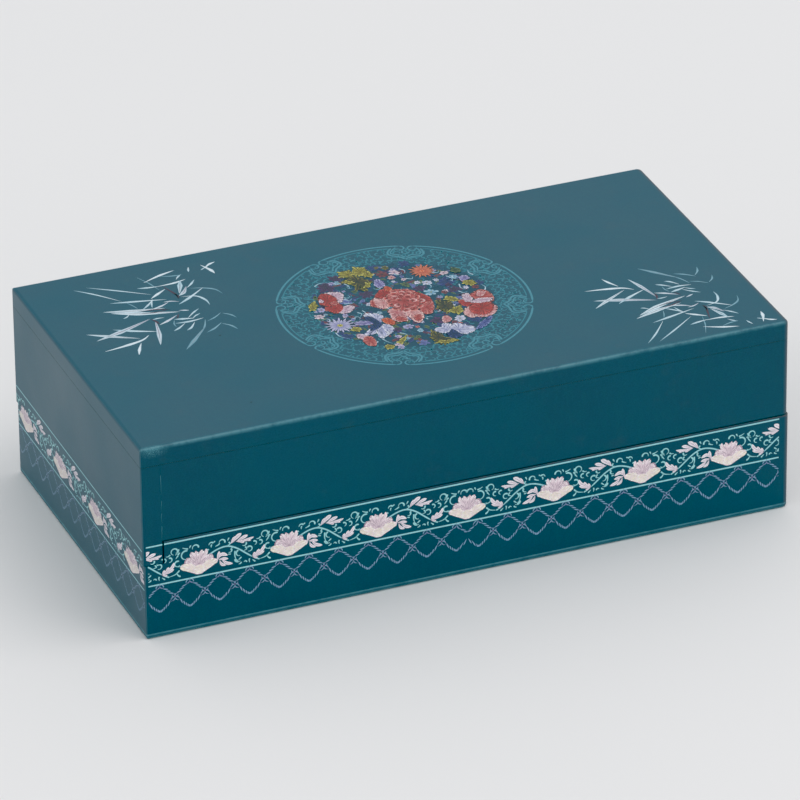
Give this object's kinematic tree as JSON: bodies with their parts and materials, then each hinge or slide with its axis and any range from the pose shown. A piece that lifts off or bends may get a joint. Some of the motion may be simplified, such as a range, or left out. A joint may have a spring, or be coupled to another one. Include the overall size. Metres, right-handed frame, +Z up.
{
  "type": "puzzle box",
  "caption": "Rectangular lacquered puzzle box: a deep lid with a hooked end board slides sideways off the base and is locked by loose pins.",
  "frame": {"origin": "middle of the underside of the base", "axes": "+X along the box, away from the end the lid opens over; +Y from the front to the back; +Z up"},
  "size_m": [0.2706, 0.146, 0.083],
  "materials": {
    "lacquer": "satin teal lacquer over wood, painted with flowers, scrolls and bamboo leaves",
    "bottom_wood": "thinly lacquered dark wood",
    "hardwood": "waxed pale hardwood",
    "bamboo": "split bamboo",
    "felt": "short red felt",
    "silk": "woven red silk",
    "brass": "turned brass, slightly dulled",
    "steel": "turned steel"
  },
  "bodies": {
    "base": {"base_front_board": "lacquer", "base_back_board": "lacquer", "base_left_board": "lacquer", "base_right_board": "lacquer", "base_bottom_panel": "bottom_wood", "base_floor_felt": "felt", "base_corner_dowels": "bamboo", "catch_batten": "hardwood"},
    "lid": {"top_panel": "lacquer", "top_panel_dowels": "bamboo", "lid_front_rail": "lacquer", "lid_back_rail": "lacquer", "lid_left_board": "lacquer", "lid_right_board": "lacquer", "lid_corner_dowels": "bamboo", "lid_lining": "silk", "lid_front_runner": "hardwood", "lid_back_runner": "hardwood", "front_stop_screw": "brass", "rear_stop_screw": "brass", "lock_block": "hardwood", "front_pin_bush": "brass", "rear_pin_bush": "brass"},
    "front_pin": {"front_lock_pin": "steel"},
    "rear_pin": {"rear_lock_pin": "steel"}
  },
  "joints": [
    {"name": "lid_slide", "type": "slide", "parent": "base", "child": "lid", "axis": [-1, 0, 0], "range_m": [-0.0006, 0.17]},
    {"name": "front_pin_drop", "type": "slide", "parent": "lid", "child": "front_pin", "axis": [0, 0, -1], "range_m": [0, 0.008]},
    {"name": "rear_pin_drop", "type": "slide", "parent": "lid", "child": "rear_pin", "axis": [0, 0, -1], "range_m": [0, 0.008]}
  ]
}
